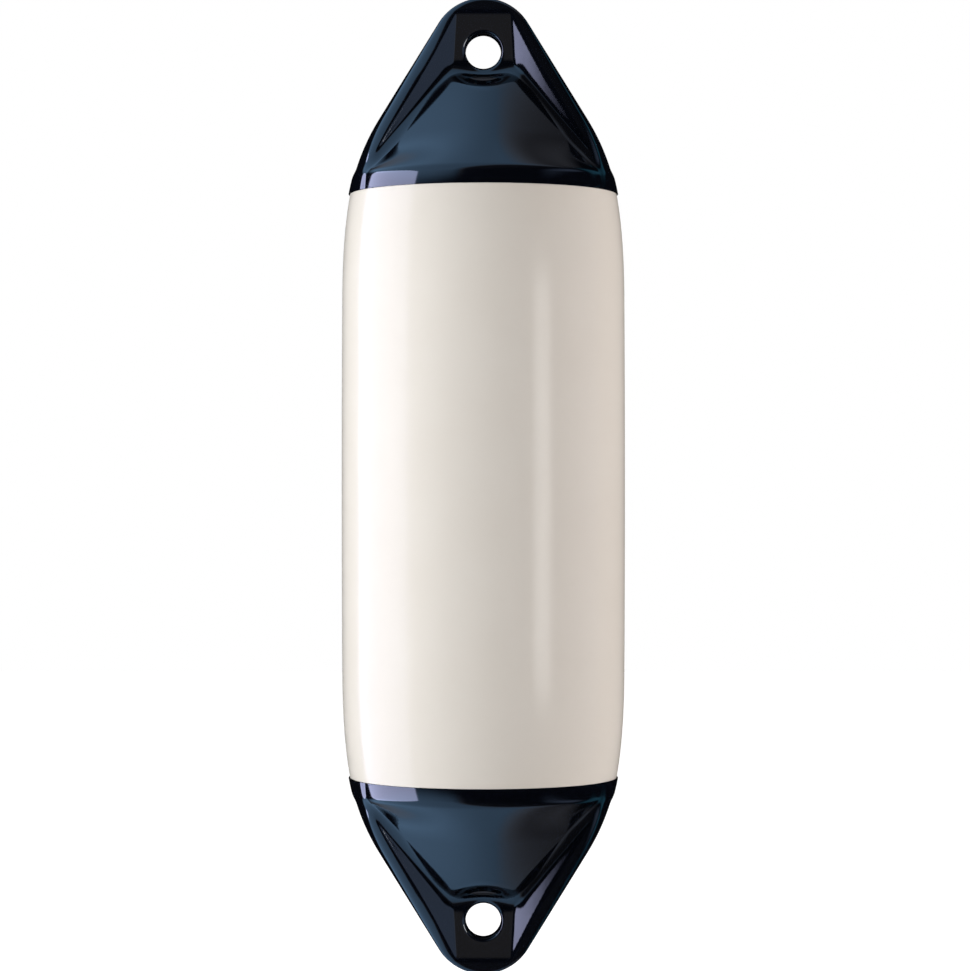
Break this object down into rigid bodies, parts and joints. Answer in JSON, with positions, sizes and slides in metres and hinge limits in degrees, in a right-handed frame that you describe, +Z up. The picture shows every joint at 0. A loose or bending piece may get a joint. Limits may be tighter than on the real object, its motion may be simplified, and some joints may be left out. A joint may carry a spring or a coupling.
{
  "type": "boat fender",
  "caption": "Inflatable cylindrical boat fender with a moulded rope eye at each end and an inflation valve in the back of the upper end.",
  "frame": {"origin": "middle of the fender, on its axis", "axes": "+Z up the fender's axis towards the eye that it hangs from; both eyes open along Y; the pictured front faces -Y and the valve is on the +Y side"},
  "size_m": [0.22, 0.22, 0.758],
  "materials": {
    "white_vinyl": "glossy moulded PVC, warm white",
    "navy_vinyl": "high-gloss moulded PVC, navy blue",
    "black_nylon": "satin moulded nylon, black"
  },
  "bodies": {
    "root": {"body": "white_vinyl", "upper_end": "navy_vinyl", "lower_end": "navy_vinyl", "valve_body": "black_nylon", "valve_plug": "black_nylon"}
  },
  "joints": []
}
